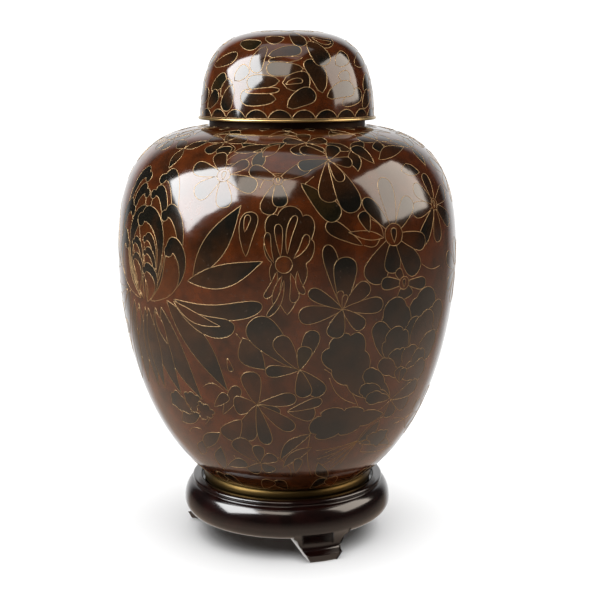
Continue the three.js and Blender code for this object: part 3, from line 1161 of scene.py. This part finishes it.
def foot(index, bearing):
    """One foot: the ankle and toe outline, swept across between the foot's two tapered sides."""
    ankle = quadratic(TOE_EDGE, (FOOT_WAIST[0], TOE_EDGE[1]), FOOT_WAIST)
    bend = arc((MOULDING_RADIUS, MOULDING_HEIGHT), (MOULDING_REACH, MOULDING_DROP),
               FOOT_KNEE_ANGLE, FOOT_KNEE_ANGLE, 1)[0]
    slope = -MOULDING_DROP / (MOULDING_REACH * math.tan(math.radians(FOOT_KNEE_ANGLE)))
    pull = (FOOT_WAIST[0], bend[1] - slope * (bend[0] - FOOT_WAIST[0]))
    knee = quadratic(FOOT_WAIST, pull, bend)
    back = np.linspace((FOOT_INNER_TOP_RADIUS, bend[1]), (FOOT_INNER_BOTTOM_RADIUS, 0.0), BEND_STEPS)
    outline = np.vstack([back, [(TOE_BOTTOM_RADIUS, 0.0)], ankle, knee[1:]])
    across = np.linspace(-1.0, 1.0, FOOT_FACETS)
    x = np.outer(foot_half_width(outline[:, 1]), across)
    out = np.sqrt(outline[:, :1] ** 2 - x**2)
    height = np.repeat(outline[:, 1:], len(across), axis=1)
    verts = np.stack([x, -out, height], axis=-1).reshape(-1, 3)
    ids = np.arange(len(verts)).reshape(x.shape)
    around = np.roll(ids, -1, axis=0)
    quads = np.stack([ids[:, :-1], ids[:, 1:], around[:, 1:], around[:, :-1]], axis=-1).reshape(-1, 4)
    piece = new_object(f"stand_foot_{index}", verts, [*quads, ids[::-1, 0], ids[:, -1]], lacquer)
    piece.data.transform(Matrix.Rotation(math.radians(bearing), 4, "Z"))
    bevel = piece.modifiers.new("edges", "BEVEL")
    bevel.width = FOOT_EDGE * MM
    bevel.segments = 2
    bevel.limit_method = "ANGLE"
    bevel.angle_limit = math.radians(SHARP_ANGLE)
    return piece


stand = stand_disc()
smooth(stand, SHARP_ANGLE)
stand_for(stand, "lacquered_wood", "stand")
for i, bearing in enumerate(FOOT_BEARINGS):
    piece = foot(i + 1, bearing)
    smooth(piece, SHARP_ANGLE)
    stand_for(piece, "lacquered_wood")


# Floor, light and camera

FLOOR_FRONT = -2500.0
FLOOR_BACK = 560.0
FLOOR_HALF_WIDTH = 2500.0
CAMERA_DISTANCE = 666.4
CAMERA_HEIGHT = 254.9
CAMERA_TILT = 10.73
CAMERA_LENS = 75.09
SENSOR = 36.0
IMAGE_WIDTH = 600
AXIS_LEFT_OF_MIDDLE = 12.8 / IMAGE_WIDTH
LIGHT_AIM = 150.0
WHITE = (1.0, 1.0, 1.0)
WARM = (1.0, 0.88, 0.76)
PAPER = (0.82, 0.82, 0.82, 1.0)
ROOM_BEHIND = (1.15, 1.15, 1.15, 1.0)
ROOM_FRONT = (0.03, 0.03, 0.03, 1.0)
ROOM_BELOW = (0.74, 0.59, 0.48, 1.0)


def floor():
    """A plain floor that the urn's mirror reflections leave out."""
    corners = [(-FLOOR_HALF_WIDTH, FLOOR_FRONT, 0), (FLOOR_HALF_WIDTH, FLOOR_FRONT, 0),
               (FLOOR_HALF_WIDTH, FLOOR_BACK, 0), (-FLOOR_HALF_WIDTH, FLOOR_BACK, 0)]
    paper, _, _ = material("floor_paper", Base_Color=PAPER, Roughness=0.8)
    piece = new_object("floor", corners, [(0, 1, 2, 3)], paper)
    piece.visible_glossy = False
    return piece


def softbox(name, bearing, elevation, distance, size, radiance, roll=0.0, colour=WHITE):
    """An area light seen from the jar at a bearing and elevation, given by its radiance."""
    b, e = math.radians(bearing), math.radians(elevation)
    toward = Vector((math.cos(e) * math.sin(b), -math.cos(e) * math.cos(b), math.sin(e)))
    data = bpy.data.lights.new(name, "AREA")
    data.shape = "RECTANGLE"
    data.size, data.size_y = size[0] * MM, size[1] * MM
    data.energy = radiance * math.pi * data.size * data.size_y
    data.color = colour
    lamp = bpy.data.objects.new(name, data)
    facing = toward.to_track_quat("Z", "Y").to_matrix().to_4x4()
    place = Matrix.Translation(Vector((0, 0, LIGHT_AIM * MM)) + toward * distance * MM)
    lamp.matrix_world = place @ facing @ Matrix.Rotation(math.radians(roll), 4, "Z")
    bpy.context.scene.collection.objects.link(lamp)
    return lamp


def backdrop():
    """A room that is bright behind the urn, dark in front of it and warmly dim below."""
    world = bpy.data.worlds.new("studio")
    world.use_nodes = True
    tree = world.node_tree
    way = node(tree, "ShaderNodeTexCoord").outputs["Generated"]
    axes = node(tree, "ShaderNodeSeparateXYZ", {0: way}).outputs
    behind = ranged(tree, axes["Y"], 0.72, 0.88)
    below = ranged(tree, axes["Z"], 0.0, -0.45)
    front = mixed(tree, below, ROOM_FRONT, ROOM_BELOW)
    room = mixed(tree, behind, front, ROOM_BEHIND)
    tree.links.new(room, tree.nodes["Background"].inputs["Color"])
    bpy.context.scene.world = world


def camera():
    data = bpy.data.cameras.new("camera")
    data.sensor_width = SENSOR
    data.lens = CAMERA_LENS
    data.shift_x = AXIS_LEFT_OF_MIDDLE
    eye = bpy.data.objects.new("camera", data)
    eye.location = Vector((0.0, -CAMERA_DISTANCE, CAMERA_HEIGHT)) * MM
    eye.rotation_euler = (math.radians(90.0 - CAMERA_TILT), 0.0, 0.0)
    bpy.context.scene.collection.objects.link(eye)
    bpy.context.scene.camera = eye


def lit_by(pieces, *lamps):
    """Lets lamps light only the given pieces."""
    lit = bpy.data.collections.new(lamps[0].name + "_lit")
    for piece in pieces:
        lit.objects.link(piece)
    for lamp in lamps:
        lamp.light_linking.receiver_collection = lit


backdrop()
lit_by([floor()], softbox("floor_light", bearing=0.0, elevation=80.0, distance=1000.0,
                          size=(2600.0, 2200.0), radiance=3.3))
lit_by(
    ride_pieces,
    softbox("left_softbox", bearing=-66.0, elevation=33.0, distance=1100.0, size=(820.0, 820.0),
            radiance=15.0, roll=45.0),
    softbox("right_softbox", bearing=86.0, elevation=29.0, distance=1100.0, size=(900.0, 760.0),
            radiance=5.6, colour=WARM),
    softbox("front_fill", bearing=-18.0, elevation=44.0, distance=1200.0, size=(720.0, 420.0),
            radiance=5.2, colour=WARM),
    softbox("top_fill", bearing=-20.0, elevation=80.0, distance=1100.0, size=(900.0, 700.0), radiance=1.2),
)
camera()
bpy.context.scene.view_settings.view_transform = "Standard"
